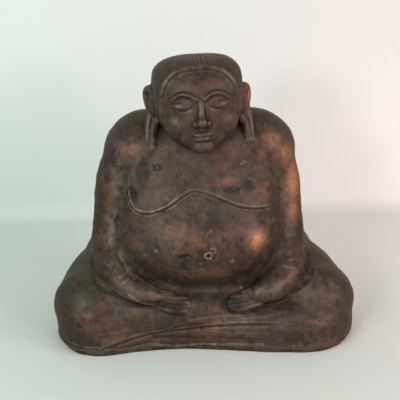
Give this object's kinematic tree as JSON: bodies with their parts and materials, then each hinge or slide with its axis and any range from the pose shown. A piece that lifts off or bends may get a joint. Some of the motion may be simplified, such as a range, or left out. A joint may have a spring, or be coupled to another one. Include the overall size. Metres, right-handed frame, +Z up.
{
  "type": "seated bronze figure",
  "caption": "Cast bronze figure of a round-bellied monk seated cross-legged, with both hands resting on the lap below the belly.",
  "frame": {"origin": "middle of the figure's box at the level of the flat underside", "axes": "the figure faces -Y, +Z up, +X towards the figure's left knee"},
  "size_m": [0.307, 0.1796, 0.2816],
  "materials": {
    "bronze": "dark brown patina with copper-coloured rubbed places, matte"
  },
  "bodies": {
    "root": {"seated_figure": "bronze"}
  },
  "joints": []
}
